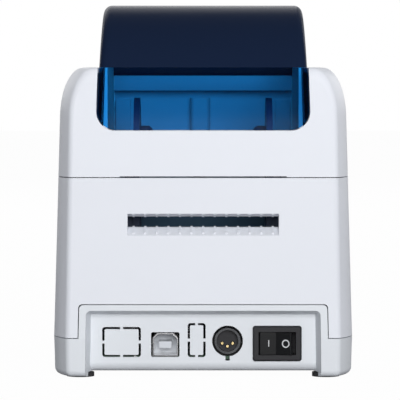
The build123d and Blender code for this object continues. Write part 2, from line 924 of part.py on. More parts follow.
# Roll guide on the +X side: plate, core boss, neck through the slot and rack
def roll_guide():
    inner = roll_half_width
    outer = roll_half_width + guide_thick
    plate = outline(
        (dome_axis_y - guide_foot_half, bay_floor + seat_gap, 3.0),
        (dome_axis_y + guide_foot_half, bay_floor + seat_gap, 3.0),
        (dome_axis_y + guide_radius * 0.98, dome_axis_z - guide_neck, 8.0),
        (dome_axis_y - guide_radius * 0.98, dome_axis_z - guide_neck, 8.0),
    )
    guide = along_x(plate, inner, outer)
    guide += rod_x(guide_radius, inner, outer, dome_axis_y, dome_axis_z)
    guide -= along_x(
        outline(
            (dome_axis_y - guide_window_half, bay_floor + 14, 4.0),
            (dome_axis_y + guide_window_half, bay_floor + 14, 4.0),
            (dome_axis_y + guide_window_half + 3, dome_axis_z - guide_radius - 4, 4.0),
            (dome_axis_y - guide_window_half - 3, dome_axis_z - guide_radius - 4, 4.0),
        ),
        inner - 1,
        outer + 1,
    )
    boss = rod_x(core_radius, inner - core_length, inner + 1, dome_axis_y, dome_axis_z)
    boss = chamfer(boss.faces().sort_by(Axis.X)[0].edges(), 1.5)
    guide += boss
    core_end = inner - core_length + core_wall
    guide -= rod_x(core_radius - core_wall, core_end, outer + 1, dome_axis_y, dome_axis_z)
    for turn in range(3):
        angle = math.radians(90 + 120 * turn)
        y = dome_axis_y + guide_hole_ring * math.cos(angle)
        z = dome_axis_z + guide_hole_ring * math.sin(angle)
        guide -= rod_x(guide_hole_radius, inner - 1, outer + 1, y, z)
    for y in (dome_axis_y - guide_foot_half + 1, dome_axis_y + guide_foot_half - 3):
        guide += block(outer - 0.5, outer + guide_flange, y, y + 2, bay_floor + seat_gap, dome_axis_z - 8)
    guide = guide & rod_x(bay_radius - seat_gap, 0, width, dome_axis_y, dome_axis_z)
    near = dome_axis_y + rack_pitch_radius + rack_module * rack_addendum + 2.0
    guide += block(inner, outer, near, near + 2.2, rack_top - rack_height, bay_floor + 1)
    return guide + rack_bar(1)


# Rack whose teeth face the pinion, with a gap at the pinion's centre line
def rack_bar(side):
    pitch = math.pi * rack_module
    line = rack_pitch_radius
    tip = line - rack_addendum * rack_module
    root = line + 1.1 * rack_module
    slope = math.tan(math.radians(pressure_angle))
    half = pitch / 4 - backlash / 2
    first = -math.ceil(4.0 / pitch)
    last = math.ceil((guide_travel + 4.0) / pitch)
    points = []
    for i in range(first, last):
        x = (i + 0.5) * pitch
        points.append((x - half - (root - line) * slope, root))
        points.append((x - half + (line - tip) * slope, tip))
        points.append((x + half - (line - tip) * slope, tip))
        points.append((x + half + (root - line) * slope, root))
    back = line + rack_back + rack_module
    end = roll_half_width + guide_thick
    points += [(end, root), (end, back), (points[0][0] - 1.0, back), (points[0][0] - 1.0, root)]
    face = make_face(Polyline([(x, dome_axis_y + side * y) for x, y in points], close=True))
    return along_z(face, rack_top - rack_height, rack_top)


# Involute outline: flanks are curves through points of the involute
def gear_outline(teeth, module, phase, centre=(0, 0)):
    pitch = teeth * module / 2
    base = pitch * math.cos(math.radians(pressure_angle))
    tip = pitch + gear_addendum * module
    root = pitch - gear_dedendum * module
    half = (math.pi * module - backlash) / (4 * pitch)

    def spot(radius, side, tooth):
        turn = math.acos(min(1.0, base / radius))
        start = math.radians(pressure_angle)
        open_by = math.tan(start) - start - math.tan(turn) + turn
        angle = phase + tooth * 2 * math.pi / teeth + side * (half + open_by)
        return Vector(centre[0] + radius * math.cos(angle), centre[1] + radius * math.sin(angle))

    low = max(base, root)
    steps = [low + (tip - low) * i / 3 for i in range(4)]
    edges = []
    for tooth in range(teeth):
        up = [spot(r, -1, tooth) for r in steps]
        down = [spot(r, 1, tooth) for r in reversed(steps)]
        foot_up = toward(centre, up[0], root)
        foot_down = toward(centre, down[-1], root)
        next_foot = toward(centre, spot(low, -1, tooth + 1), root)
        if (foot_up - up[0]).length > 1e-4:
            edges.append(Line(foot_up, up[0]))
        edges.append(Spline(*up))
        edges.append(Line(up[-1], down[0]))
        edges.append(Spline(*down))
        if (foot_down - down[-1]).length > 1e-4:
            edges.append(Line(down[-1], foot_down))
        edges.append(Line(foot_down, next_foot))
    return make_face(edges)


def toward(centre, point, radius):
    middle = Vector(centre[0], centre[1])
    return middle + (point - middle).normalized() * radius


# Angle of a tooth of the second gear, in mesh with a tooth of the first
def meshed(first_phase, first_teeth, second_teeth, direction):
    drift = (first_phase - direction) * first_teeth / second_teeth
    return direction + math.pi + math.pi / second_teeth - drift


# Where the dome's pieces lie, widened by a gap for the opening that takes them
def dome_region(grow):
    half = dome_half_width + grow
    low = window_bottom - grow
    lean = math.tan(math.radians(dome_draft)) * dome_radius
    back_view = outline(
        (-half, low, window_corner),
        (half, low, window_corner),
        (half - lean, low + dome_radius),
        (-half + lean, low + dome_radius),
    )
    region = along_y(back_view, dome_axis_y, depth)
    side_view = outline(
        (dome_axis_y, low),
        (skirt_knee_y, low),
        (dome_front_y, skirt_front_z - grow),
        (-depth, skirt_front_z - grow),
        (-depth, low + depth),
        (dome_axis_y, low + depth),
    )
    return region + along_x(side_view, -width, width)


def dome_shell():
    return (dome_form(0) - dome_form(dome_wall)) & dome_region(0)


def lid_window():
    return dome_shell() & block(-width, width, dome_split_y + 0.1, depth, 0, 2 * depth)


def lid_front_cover():
    return dome_shell() & block(-width, width, -depth, dome_split_y - 0.1, 0, 2 * depth)


def lid_shell():
    inside = brow_form(wall / 2)
    shell = brow_form(0) - brow_form(wall) - below_part_line(seam_gap)
    relief_top = body_seam + seam_gap + rear_relief
    shell -= block(-rear_relief_half, rear_relief_half, hinge_y, depth, 0, relief_top)
    shell -= dome_form(-seat_gap) & dome_region(seat_gap)
    shell -= dome_region(seat_gap) & block(-width, width, hinge_y - hinge_arm_reach, depth, 0, depth)
    back = half_depth_at(shoulder_top)
    cheek = block(cheek_x, cheek_x + cheek_thick, dome_front_y, back, 0, shoulder_top)
    cheek = cheek & inside
    cheek -= below_part_line(cheek_bottom - body_seam)
    ledge = outline(
        (dome_axis_y, window_bottom - seat_gap),
        (skirt_knee_y, window_bottom - seat_gap),
        (dome_front_y + 4, skirt_front_z - seat_gap + 1.5),
        (dome_front_y + 4, skirt_front_z - seat_gap + 1.5 - ledge_thick),
        (skirt_knee_y, window_bottom - seat_gap - ledge_thick),
        (dome_axis_y, window_bottom - seat_gap - ledge_thick),
    )
    cheek += along_x(ledge, cheek_x - ledge_width, cheek_x + 0.5)
    one_side = cheek + hinge_ear()
    shell = shell + one_side + mirrored(one_side)
    exit_half = platen_half_length + 2
    shell -= block(-exit_half, exit_half, -depth, plate_front, 0, front_seam + exit_height)
    bar_y = tear_bar_y - tear_bar_thick / 2
    half = platen_half_length
    seat = block(-half, half, bar_y - 3, bar_y, tear_seat_z, tear_seat_z + tear_seat_high)
    return shell + (seat & inside)


# Steel catches on the lid's inner walls: a plate that reaches down inside the
# body's wall, with a lug for the lever's hook
def lid_catches():
    catch_x = latch_pivot_x + latch_arm_thick / 2 + latch_nose + seat_gap
    low = catch_top - catch_thick
    rim = front_seam + seam_gap
    high = rim + catch_plate_high
    hang = block(0, width, latch_y - latch_half, latch_y + latch_half, low, high)
    half = catch_plate_half
    seat = block(0, width, latch_y - half, latch_y + half, rim + seat_gap, high)
    hollow = brow_form(wall + seat_gap + catch_plate)
    catch = (hang & brow_form(wall + seat_gap)) + (seat & brow_form(wall)) - hollow
    lug = block(catch_x, width, latch_y - latch_half, latch_y + latch_half, low, catch_top)
    catch += lug & brow_form(wall + seat_gap)
    return catch + mirrored(catch)


def hinge_ear():
    x = hinge_arm_x + hinge_arm_thick + hinge_side_gap
    web = outline(
        (hinge_y - hinge_knuckle * 0.4, hinge_z + hinge_knuckle * 0.9),
        (hinge_y, hinge_z - hinge_knuckle),
        (depth / 2, hinge_z - hinge_knuckle - 4),
        (depth / 2, hinge_z + hinge_knuckle + 12),
        (hinge_y + 2, hinge_z + hinge_knuckle + 6),
    )
    ear = along_x(web, x, x + hinge_ear_thick) & brow_form(wall / 2)
    ear += rod_x(hinge_knuckle, x, x + hinge_ear_thick, hinge_y, hinge_z)
    return ear - rod_x(hinge_pin_radius + running_gap, x - 1, x + 5, hinge_y, hinge_z)


# Arm that reaches back over the path of the lid's rear wall to the hinge
def hinge_arms():
    post_y = hinge_y - hinge_arm_reach
    x0 = hinge_arm_x
    x1 = hinge_arm_x + hinge_arm_thick
    side_view = outline(
        (post_y - hinge_arm_post, deck_top),
        (post_y, deck_top),
        (post_y, hinge_z - hinge_knuckle + 0.6, 4.0),
        (hinge_y, hinge_z - hinge_knuckle + 0.6),
        (hinge_y, hinge_z + hinge_knuckle - 0.6),
        (post_y - hinge_arm_post, hinge_z + hinge_knuckle - 0.6, 9.0),
    )
    arm = along_x(side_view, x0, x1)
    arm += rod_x(hinge_knuckle, x0, x1, hinge_y, hinge_z)
    arm += block(x0 - 1.5, x1 + 2.5, post_y - hinge_arm_post - 6, post_y + 3, deck_top, deck_top + 2.5)
    arm -= rod_x(hinge_pin_radius + running_gap / 2, x0 - 1, x1 + 1, hinge_y, hinge_z)
    return arm + mirrored(arm)


def hinge_pins():
    x1 = hinge_arm_x + hinge_arm_thick + hinge_side_gap + hinge_ear_thick + 0.2
    pin = rod_x(hinge_pin_radius, hinge_arm_x - 0.5, x1, hinge_y, hinge_z)
    return pin + mirrored(pin)


# Bulkhead behind the print head and the walls that run back from it inside the
# dome, with the ribs and ledges that show through the window
def lid_liner():
    y = liner_y
    side_view = outline(
        (y, dome_axis_z + dome_radius),
        (y, liner_bottom, 4.0),
        (liner_front, liner_bottom),
        (liner_front, liner_bottom + liner_thick),
        (y - liner_thick, liner_bottom + liner_thick, 2.0),
        (y - liner_thick, dome_axis_z + dome_radius),
    )
    ceiling = dome_form(dome_wall + seat_gap)
    liner = along_x(side_view, -dome_half_width, dome_half_width)
    for side in (1, -1):
        x0, x1 = sorted((side * liner_rib_x, side * (liner_rib_x + liner_rib_wide)))
        liner += block(x0, x1, y - 1, y + liner_rib_reach, liner_bottom + 6, liner_rib_top)
        x0, x1 = sorted((0, side * liner_ledge_half))
        liner += block(x0, x1, y - 1, y + liner_ledge_reach, liner_ledge_z, liner_ledge_z + liner_ledge_thick)
    spine = centred(liner_spine_wide, 2 * liner_rib_reach + 2, liner_spine_x, y + 1, 2.0)
    liner += along_z(spine, liner_bottom + 4, liner_rib_top + 1)
    side_back = dome_axis_y + liner_side_run
    for side in (1, -1):
        x0, x1 = sorted((side * liner_tab_x, side * width))
        liner += block(x0, x1, y - liner_thick, side_back, liner_tab_z, shoulder_top)
    liner = liner & ceiling
    for side in (1, -1):
        x0, x1 = sorted((side * liner_tab_x, side * (cheek_x - seat_gap)))
        top = liner_tab_z + liner_tab_high
        liner += block(x0, x1, y - liner_thick, y + liner_rib_reach, liner_tab_z, top)
    return liner


def head_mount():
    z0 = liner_bottom + liner_thick
    z1 = head_mount_z + head_sheet
    mount = block(-head_mount_x, head_mount_x, head_front, head_mount_back, head_mount_z, z1)
    for side in (1, -1):
        x0, x1 = sorted((side * (head_mount_x - head_sheet), side * head_mount_x))
        mount += block(x0, x1, liner_front, head_mount_back, z0, z1)
    return mount - rod_x(head_pin_radius + running_gap, -width, width, head_pin_y, head_pin_z)


def head_pin():
    reach = head_mount_x + 1.0
    return rod_x(head_pin_radius, -reach, reach, head_pin_y, head_pin_z)


def head_bracket():
    x1 = head_mount_x - head_sheet - head_side_gap
    x0 = x1 - head_sheet
    side_view = outline(
        (head_pin_y + 4, head_pin_z - 4, 3.0),
        (head_pin_y + 4, head_pin_z + 4, 3.0),
        (head_pin_y - 4, head_pin_z + 4, 3.0),
        (head_pin_y - 12, heatsink_top + head_sheet, 3.0),
        (head_front, heatsink_top + head_sheet),
        (head_front, heatsink_top),
        (head_pin_y - 8, heatsink_top, 3.0),
    )
    arm = along_x(side_view, x0, x1)
    arm -= rod_x(head_pin_radius + running_gap, x0 - 1, x1 + 1, head_pin_y, head_pin_z)
    plate = block(-x1, x1, head_front, head_pin_y - 13, heatsink_top, heatsink_top + head_sheet)
    return arm + mirrored(arm) + plate


def print_head():
    z = platen_top + seat_gap
    return block(-platen_half_length, platen_half_length, head_front + 1, platen_y + 5, z, z + head_thick)


def heatsink():
    z = platen_top + seat_gap + head_thick
    half = platen_half_length + 1
    sink = block(-half, half, head_front, head_pin_y - 14, z, heatsink_top)
    for i in range(3):
        level = z + 1.6 + i * sink_fin_pitch
        sink -= block(-half - 1, half + 1, platen_y + 3, head_pin_y, level, level + sink_fin_gap)
    return sink


def head_springs():
    springs = Part()
    for x in (-spring_x, spring_x):
        low = heatsink_top + head_sheet + spring_room
        spring = rod_z(spring_radius, low, head_mount_z, x, platen_y)
        springs += spring - rod_z(spring_radius - spring_wall, low - 1, head_mount_z + 1, x, platen_y)
    return springs


# Saw-toothed bar under the lid's front edge
def tear_bar():
    points = []
    half = platen_half_length - 1
    count = round(2 * half / tear_pitch)
    for i in range(count):
        x = -half + i * tear_pitch
        points.append((x, tear_tip_z + tear_tooth))
        points.append((x + tear_pitch / 2, tear_tip_z))
    top = tear_seat_z + tear_seat_high
    points += [(half, tear_tip_z + tear_tooth), (half, top), (-half, top)]
    face = make_face(Polyline(points, close=True))
    return along_y(face, tear_bar_y - tear_bar_thick / 2, tear_bar_y + tear_bar_thick / 2)


# Steel frame that carries the roller, its gears and the motor
def mech_frame():
    x0 = plate_inner_x
    x1 = plate_inner_x + plate_thick
    side_view = outline(
        (plate_front, frame_floor),
        (plate_back, frame_floor),
        (plate_back, platen_z - 3, 4.0),
        (platen_y + frame_margin, plate_top, 4.0),
        (plate_front, plate_top, 4.0),
    )
    plate = along_x(side_view, x0, x1)
    plate -= rod_x(bushing_radius + running_gap / 2, x0 - 1, x1 + 1, platen_y, platen_z)
    reach = bushing_radius + running_gap / 2
    plate -= block(x0 - 1, x1 + 1, platen_y - reach, platen_y + reach, platen_z, plate_top + 1)
    plate -= rod_x(frame_hole, x0 - 1, x1 + 1, plate_back - frame_margin, frame_floor + frame_margin)
    right = plate - rod_x(idler_pin_radius + 0.02, x0 - 1, x1 + 1, idler_y, idler_z)
    right -= rod_x(motor_boss + running_gap, x0 - 1, x1 + 1, motor_y, motor_z)
    left = mirrored(plate)
    floor = block(-x1, x1, plate_front, plate_back, frame_floor, frame_floor + plate_thick)
    for x, y in frame_posts():
        floor -= rod_z(1.6, 0, frame_floor + 5, x, y)
    half = x0 - frame_margin
    floor -= block(-half, half, plate_front + frame_margin, plate_back - frame_margin, 0, frame_floor + 5)
    return left + right + floor


def platen_bushings():
    x0 = plate_inner_x
    one = rod_x(bushing_radius, x0, x0 + plate_thick + 0.7, platen_y, platen_z)
    one += rod_x(bushing_flange, x0 - 1.5, x0, platen_y, platen_z)
    one -= rod_x(platen_shaft_radius + running_gap, x0 - 3, x0 + 5, platen_y, platen_z)
    return one + mirrored(one)


def platen_roller():
    half = platen_half_length
    roller = rod_x(platen_radius, -half, half, platen_y, platen_z)
    return roller - rod_x(platen_shaft_radius, -half - 1, half + 1, platen_y, platen_z)


def platen_shaft():
    left = plate_inner_x + plate_thick + shaft_stub
    return rod_x(platen_shaft_radius, -left, gear_x + gear_face + 1, platen_y, platen_z)


def gear_on_x(teeth, phase, y, z, bore):
    gear = along_x(gear_outline(teeth, gear_module, phase, (y, z)), gear_x, gear_x + gear_face)
    return gear - rod_x(bore, gear_x - 1, gear_x + gear_face + 1, y, z)


def idler_pin():
    x1 = gear_x + gear_face + seat_gap
    pin = rod_x(idler_pin_radius, plate_inner_x, x1 + 1, idler_y, idler_z)
    return pin + rod_x(idler_pin_radius + 1.2, x1, x1 + 1, idler_y, idler_z)


def feed_motor():
    x1 = plate_inner_x
    half = motor_side / 2
    can = outline(
        (motor_y - half, motor_z - half, 5.0),
        (motor_y + half, motor_z - half, 5.0),
        (motor_y + half, motor_z + half, 5.0),
        (motor_y - half, motor_z + half, 5.0),
    )
    motor = along_x(can, x1 - motor_length, x1)
    motor += rod_x(motor_boss, x1, x1 + plate_thick - 0.4, motor_y, motor_z)
    x0 = x1 - motor_length + 3
    motor += block(x0, x0 + 12, motor_y - 6, motor_y + 6, motor_z - half - motor_plug, motor_z)
    bore = motor_shaft_radius + running_gap
    return motor - rod_x(bore, x1 - motor_shaft_deep - 0.5, x1 + 5, motor_y, motor_z)


def motor_shaft():
    x0 = plate_inner_x - motor_shaft_deep
    return rod_x(motor_shaft_radius, x0, gear_x + gear_face + 0.6, motor_y, motor_z)


# Sloping plate that leads the labels from the bay to the roller
def paper_guide():
    top = outline(
        (guide_back_y, guide_back_z),
        (guide_front_y, guide_front_z),
        (guide_front_y, guide_front_z - 1.8),
        (guide_back_y, guide_back_z - 2.0),
    )
    half = plate_inner_x - seat_gap
    guide = along_x(top, -half, half)
    web = outline(
        (guide_back_y - 4, guide_back_z - 2.5),
        (guide_front_y, guide_front_z - 1.0),
        (guide_front_y, platen_z - 1.0),
        (guide_back_y - 4, platen_z - 1.0),
    )
    guide += along_x(web, half - 1.5, half) + along_x(web, -half, -half + 1.5)
    side = sensor_half + seat_gap
    end = sensor_long + seat_gap
    cell = block(-side, side, sensor_y - end, sensor_y + end, 0, body_seam)
    return guide - cell


def media_sensor():
    fall = (guide_back_z - guide_front_z) / (guide_back_y - guide_front_y)
    y0 = sensor_y - sensor_long
    y1 = sensor_y + sensor_long
    level = guide_front_z + (y0 - guide_front_y) * fall
    body = block(-sensor_half, sensor_half, y0, y1, level - 5.5, level)
    return body + block(-sensor_half - 2, sensor_half + 2, y0, y1, level - 6.5, level - 3.2)


# Electronics
def main_board():
    board = block(board_x0, board_x1, board_y0, board_y1, board_top - board_thick, board_top)
    for x, y in board_posts():
        board -= rod_z(board_hole, 0, board_top + 1, x, y)
    return board


def board_chips():
    chips = Part()
    for x, y, wide, deep, high in chip_sizes:
        x0 = board_x0 + x
        y0 = board_y0 + y
        chips += block(x0, x0 + wide, y0, y0 + deep, board_top, board_top + high)
    for x, y, radius, high in can_sizes:
        chips += rod_z(radius, board_top, board_top + high, board_x0 + x, board_y0 + y)
    return chips


def control_board():
    z0 = control_z - control_half_z - 2
    half = control_half_x + 4
    y1 = control_board_y + board_thick
    board = block(-half, half, control_board_y, y1, z0, control_z + control_half_z + 1)
    low = control_z - 3
    return board + block(button_x - 3, button_x + 3, button_stop_y, control_board_y, low, low + 6)


def front_panel():
    skin = case_prism(base_seam, body_seam, -panel_proud) - case_prism(base_seam, body_seam, control_depth)
    panel = along_y(control_outline(0), -depth, 0) & skin
    panel -= rod_y(button_radius + button_gap, -depth, 0, button_x, control_z)
    for x in light_places():
        panel -= rod_y(light_radius + light_gap, -depth, 0, x, control_z)
    return panel


def feed_button():
    inner_wall = -half_depth_at(control_z) + wall
    face = -half_depth_at(control_z) - button_proud
    button = rod_y(button_radius, face, inner_wall + 1.2, button_x, control_z)
    button = chamfer(button.faces().sort_by(Axis.Y)[0].edges(), 0.5)
    button += rod_y(button_radius + 1.4, inner_wall + 0.4, inner_wall + 1.4, button_x, control_z)
    return button + rod_y(2.0, inner_wall + 1, button_stop_y - button_travel - 0.1, button_x, control_z)


def status_lights():
    lights = Part()
    for x in light_places():
        face = -half_depth_at(control_z) - panel_proud
        lights += rod_y(light_radius, face, control_board_y - 0.5, x, control_z)
    return lights


# Sockets and switch
def usb_outline(inset):
    half = usb_wide / 2 - inset
    low = usb_z - usb_high / 2 + inset
    top = usb_z + usb_high / 2 - inset
    return outline(
        (usb_x - half, low, 0.5),
        (usb_x + half, low, 0.5),
        (usb_x + half, top - usb_cut),
        (usb_x + half - usb_cut, top),
        (usb_x - half + usb_cut, top),
        (usb_x - half, top - usb_cut),
    )


def usb_shell():
    shell = along_y(usb_outline(0), usb_back, usb_face)
    return shell - along_y(usb_outline(usb_wall), usb_back - 1, usb_face + 1)


def usb_insert():
    back = along_y(usb_outline(usb_wall + running_gap), usb_back + 0.5, usb_back + 5)
    tongue = block(usb_x - 2.9, usb_x + 2.9, usb_back + 4, usb_face - 1.0, usb_z - 1.7, usb_z + 1.5)
    return back + tongue


def jack_shell():
    back = jack_front - jack_shell_deep
    shell = rod_y(jack_shell_radius, back, jack_front, jack_x, jack_z)
    return shell - rod_y(jack_shell_radius - jack_shell_wall, back - 1, jack_front + 1, jack_x, jack_z)


def jack_body():
    half = jack_hole_radius - 0.4
    front = jack_front - jack_shell_deep
    body = block(jack_x - half, jack_x + half, front - 9, front, board_top, jack_z + half)
    face = rod_y(jack_shell_radius - jack_shell_wall - 0.05, front - 1, jack_front - 3.4, jack_x, jack_z)
    for x, z in jack_pin_places():
        face -= rod_y(jack_pin_radius + 0.35, jack_front - 7, jack_front, x, z)
    return body + face


def jack_pin_places():
    places = []
    for angle in (210, 270, 330):
        turn = math.radians(angle)
        places.append((jack_x + jack_pin_ring * math.cos(turn), jack_z + jack_pin_ring * math.sin(turn)))
    return places


def jack_pins():
    pins = Part()
    for x, z in jack_pin_places():
        pins += rod_y(jack_pin_radius, jack_front - 7, jack_front - 3.6, x, z)
    return pins


def switch_body():
    bezel = centred(switch_wide, switch_high, switch_x, switch_z, 1.2)
    body = along_y(bezel, panel_y, switch_face)
    body = chamfer(body.faces().sort_by(Axis.Y)[-1].edges(), 0.7)
    rear = centred(switch_wide - 2 * switch_step, switch_high - 2 * switch_step, switch_x, switch_z, 0.6)
    body += along_y(rear, panel_y - switch_deep, panel_y)
    cell = centred(rocker_wide + rocker_room, rocker_high + rocker_room / 2, switch_x, switch_z, 0.4)
    body -= along_y(cell, rocker_y - 5.2, depth)
    reach = rocker_high / 2 + 1.0
    body -= rod_z(rocker_pin + 2 * running_gap, switch_z - reach, switch_z + reach, switch_x, rocker_y)
    for i in (-1, 0, 1):
        x = switch_x + i * blade_pitch
        y = panel_y - switch_deep
        half = blade_thick / 2
        body += block(x - blade_wide / 2, x + blade_wide / 2, y - 6, y + 1, switch_z - half, switch_z + half)
    return body


def switch_rocker():
    half = rocker_wide / 2 - 0.5
    shape = outline(
        (-half, rocker_rise + 2.0, 0.6),
        (-half + 0.6, -0.5),
        (-2.2, -2.6, 1.5),
        (2.2, -2.6, 1.5),
        (half - 0.6, -0.5),
        (half, rocker_rise + 2.0, 0.6),
        (0, rocker_rise),
    )
    rocker = along_z(shape, -rocker_high / 2, rocker_high / 2)
    reach = rocker_high / 2 + 0.8
    rocker += Cylinder(rocker_pin, 2 * reach)
    return Pos(switch_x, rocker_y, switch_z) * Rot(0, 0, -rocker_tilt) * rocker


# Feet and screws
def rubber_feet():
    feet = Part()
    for x, y in foot_places():
        feet += rod_z(foot_radius, 0, shell_bottom + foot_pocket, x, y)
    return feet


def case_screws():
    screws = Part()
    for x, y in screw_places():
        head_top = floor_bottom + screw_sink
        screws += rod_z(screw_head, head_top - screw_head_thick, head_top, x, y)
        screws += rod_z(screw_radius, head_top - 0.5, screw_length - 0.5, x, y)
    return screws


def guide_pinion():
    pinion = gear_outline(rack_teeth, rack_module, math.radians(90), (0, dome_axis_y))
    pinion = along_z(pinion, rack_top - rack_height, rack_top)
    return pinion - rod_z(pinion_pin_radius + running_gap, 0, rack_top + 1, 0, dome_axis_y)


def left_roll_guide():
    return Pos(0, 2 * dome_axis_y, 0) * Rot(0, 0, 180) * roll_guide()


save(base_shell(), "base_shell")
save(housing_shell(), "housing_shell")
save(front_panel(), "front_panel")
save(lid_shell(), "lid_shell")
save(lid_window(), "lid_window")
save(lid_front_cover(), "lid_front_cover")
save(lid_liner(), "lid_liner")
save(lid_catches(), "lid_catches")
save(hinge_arms(), "hinge_arms")
save(hinge_pins(), "hinge_pins")
save(label_bay(), "label_bay")
save(roll_guide(), "roll_guide_right")
save(left_roll_guide(), "roll_guide_left")
save(guide_pinion(), "guide_pinion")
save(mech_frame(), "mech_frame")
save(paper_guide(), "paper_guide")
save(media_sensor(), "media_sensor")
save(platen_bushings(), "platen_bushings")
save(platen_shaft(), "platen_shaft")
save(platen_roller(), "platen_roller")
platen_phase = math.radians(idler_angle)
idler_phase = meshed(platen_phase, platen_teeth, idler_teeth, math.radians(idler_angle))
motor_phase = meshed(idler_phase, idler_teeth, motor_teeth, math.radians(motor_angle))
save(gear_on_x(platen_teeth, platen_phase, platen_y, platen_z, platen_shaft_radius), "platen_gear")
save(gear_on_x(idler_teeth, idler_phase, idler_y, idler_z, idler_pin_radius + running_gap), "idler_gear")
save(gear_on_x(motor_teeth, motor_phase, motor_y, motor_z, motor_shaft_radius), "motor_pinion")
save(idler_pin(), "idler_pin")
save(feed_motor(), "feed_motor")
save(motor_shaft(), "motor_shaft")
save(head_mount(), "head_mount")
save(head_pin(), "head_pin")
save(head_bracket(), "head_bracket")
save(heatsink(), "head_heatsink")
save(print_head(), "print_head")
save(head_springs(), "head_springs")
save(tear_bar(), "tear_bar")
save(latch_lever(), "latch_right")
save(mirrored(latch_lever()), "latch_left")
save(latch_pins(), "latch_pins")
save(feed_button(), "feed_button")
save(status_lights(), "status_lights")
save(control_board(), "control_board")
save(main_board(), "main_board")
save(board_chips(), "board_chips")
save(usb_shell(), "usb_shell")
save(usb_insert(), "usb_insert")
save(jack_shell(), "power_jack_shell")
save(jack_body(), "power_jack_body")
save(jack_pins(), "power_jack_pins")
save(switch_body(), "switch_body")
save(switch_rocker(), "switch_rocker")
save(rubber_feet(), "rubber_feet")
save(case_screws(), "case_screws")
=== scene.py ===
import json
import math
import bpy
import bmesh
from mathutils import Matrix, Vector


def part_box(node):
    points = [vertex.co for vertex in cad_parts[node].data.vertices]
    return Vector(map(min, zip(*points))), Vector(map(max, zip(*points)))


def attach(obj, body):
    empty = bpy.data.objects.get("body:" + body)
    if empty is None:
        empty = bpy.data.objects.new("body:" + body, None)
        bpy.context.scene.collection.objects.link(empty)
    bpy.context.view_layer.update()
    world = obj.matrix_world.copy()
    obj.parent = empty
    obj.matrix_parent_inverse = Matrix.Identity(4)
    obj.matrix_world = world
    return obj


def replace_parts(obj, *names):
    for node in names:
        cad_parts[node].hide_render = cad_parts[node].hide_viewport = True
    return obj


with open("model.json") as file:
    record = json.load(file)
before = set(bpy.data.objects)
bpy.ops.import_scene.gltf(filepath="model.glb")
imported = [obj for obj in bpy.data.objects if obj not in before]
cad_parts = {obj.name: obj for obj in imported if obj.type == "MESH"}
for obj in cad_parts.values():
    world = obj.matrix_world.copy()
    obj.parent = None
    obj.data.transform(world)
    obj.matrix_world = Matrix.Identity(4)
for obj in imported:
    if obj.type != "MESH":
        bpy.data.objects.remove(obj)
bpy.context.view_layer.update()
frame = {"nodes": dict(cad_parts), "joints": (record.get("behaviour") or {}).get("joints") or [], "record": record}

nodes = frame["nodes"]
mm = 0.001
noiseSpan = (0.3, 0.7)  # nearly all of a noise texture's values lie between these


class Wire:  # a socket that can be added, scaled and compared, with Math nodes
    def __init__(self, paint, socket):
        self.paint = paint
        self.socket = socket

    def __add__(self, other):
        return self.paint.maths("ADD", self, other)

    __radd__ = __add__

    def __sub__(self, other):
        return self.paint.maths("SUBTRACT", self, other)

    def __rsub__(self, other):
        return self.paint.maths("SUBTRACT", other, self)

    def __mul__(self, other):
        return self.paint.maths("MULTIPLY", self, other)

    __rmul__ = __mul__

    def __gt__(self, other):
        return self.paint.maths("GREATER_THAN", self, other)

    def __lt__(self, other):
        return self.paint.maths("LESS_THAN", self, other)


class Paint:  # a material, or the world, and the nodes in it
    def __init__(self, name, owner=None):
        self.owner = owner or bpy.data.materials.new(name)
        self.owner.use_nodes = True
        self.tree = self.owner.node_tree
        self.tree.nodes.clear()

    def node(self, kind, settings=None, values=None, out=0):
        made = self.tree.nodes.new("ShaderNode" + kind)
        for key, value in (settings or {}).items():
            setattr(made, key, value)
        for key, value in (values or {}).items():
            socket = made.inputs[key]
            if isinstance(value, Wire):
                self.tree.links.new(value.socket, socket)
            else:
                socket.default_value = (*value, 1.0) if socket.type == "RGBA" else value
        return Wire(self, made.outputs[out]) if len(made.outputs) else made

    def maths(self, operation, *terms):
        return self.node("Math", {"operation": operation}, dict(enumerate(terms)))

    def place(self):
        return self.node("TexCoord", out="Object")

    def stretched(self, scale):
        return self.node("Mapping", None, {"Vector": self.place(), "Scale": scale})

    def axis(self, number):  # the place along X, Y or Z, as 0, 1 or 2
        return self.node("SeparateXYZ", None, {"Vector": self.place()}, out=number)

    def ray(self, kind):
        return self.node("LightPath", out=f"Is {kind} Ray")

    def noise(self, scale, detail=2.0, roughness=0.5, vector=None):
        values = {"Vector": vector or self.place(), "Scale": scale, "Detail": detail, "Roughness": roughness}
        raw = self.node("TexNoise", None, values)
        return self.node("MapRange", None, {"Value": raw, "From Min": noiseSpan[0], "From Max": noiseSpan[1]})

    def blend(self, share, first, second):  # 6, 7 and output 2 are the Mix node's colours
        return self.node("Mix", {"data_type": "RGBA"}, {"Factor": share, 6: first, 7: second}, out=2)

    def either(self, share, first, second):
        return self.node("MixShader", None, {0: share, 1: first, 2: second})

    def clear(self, colour):
        return self.node("BsdfTransparent", None, {"Color": colour})

    def bump(self, height, depth, strength=1.0):
        return self.node("Bump", None, {"Height": height, "Distance": depth, "Strength": strength})

    def surface(self, **values):
        return self.node("BsdfPrincipled", None, {key.replace("_", " "): v for key, v in values.items()})

    def finish(self, shader, kind="OutputMaterial"):
        self.node(kind, None, {"Surface": shader})
        return self.owner


def linear(*colour):  # an sRGB screen colour, 0 to 255, as the shader's numbers
    def one(value):
        value /= 255
        return value / 12.92 if value <= 0.04045 else ((value + 0.055) / 1.055) ** 2.4
    return tuple(one(value) for value in colour)


def shade(colour, factor):
    return tuple(min(1.0, c * factor) for c in colour)


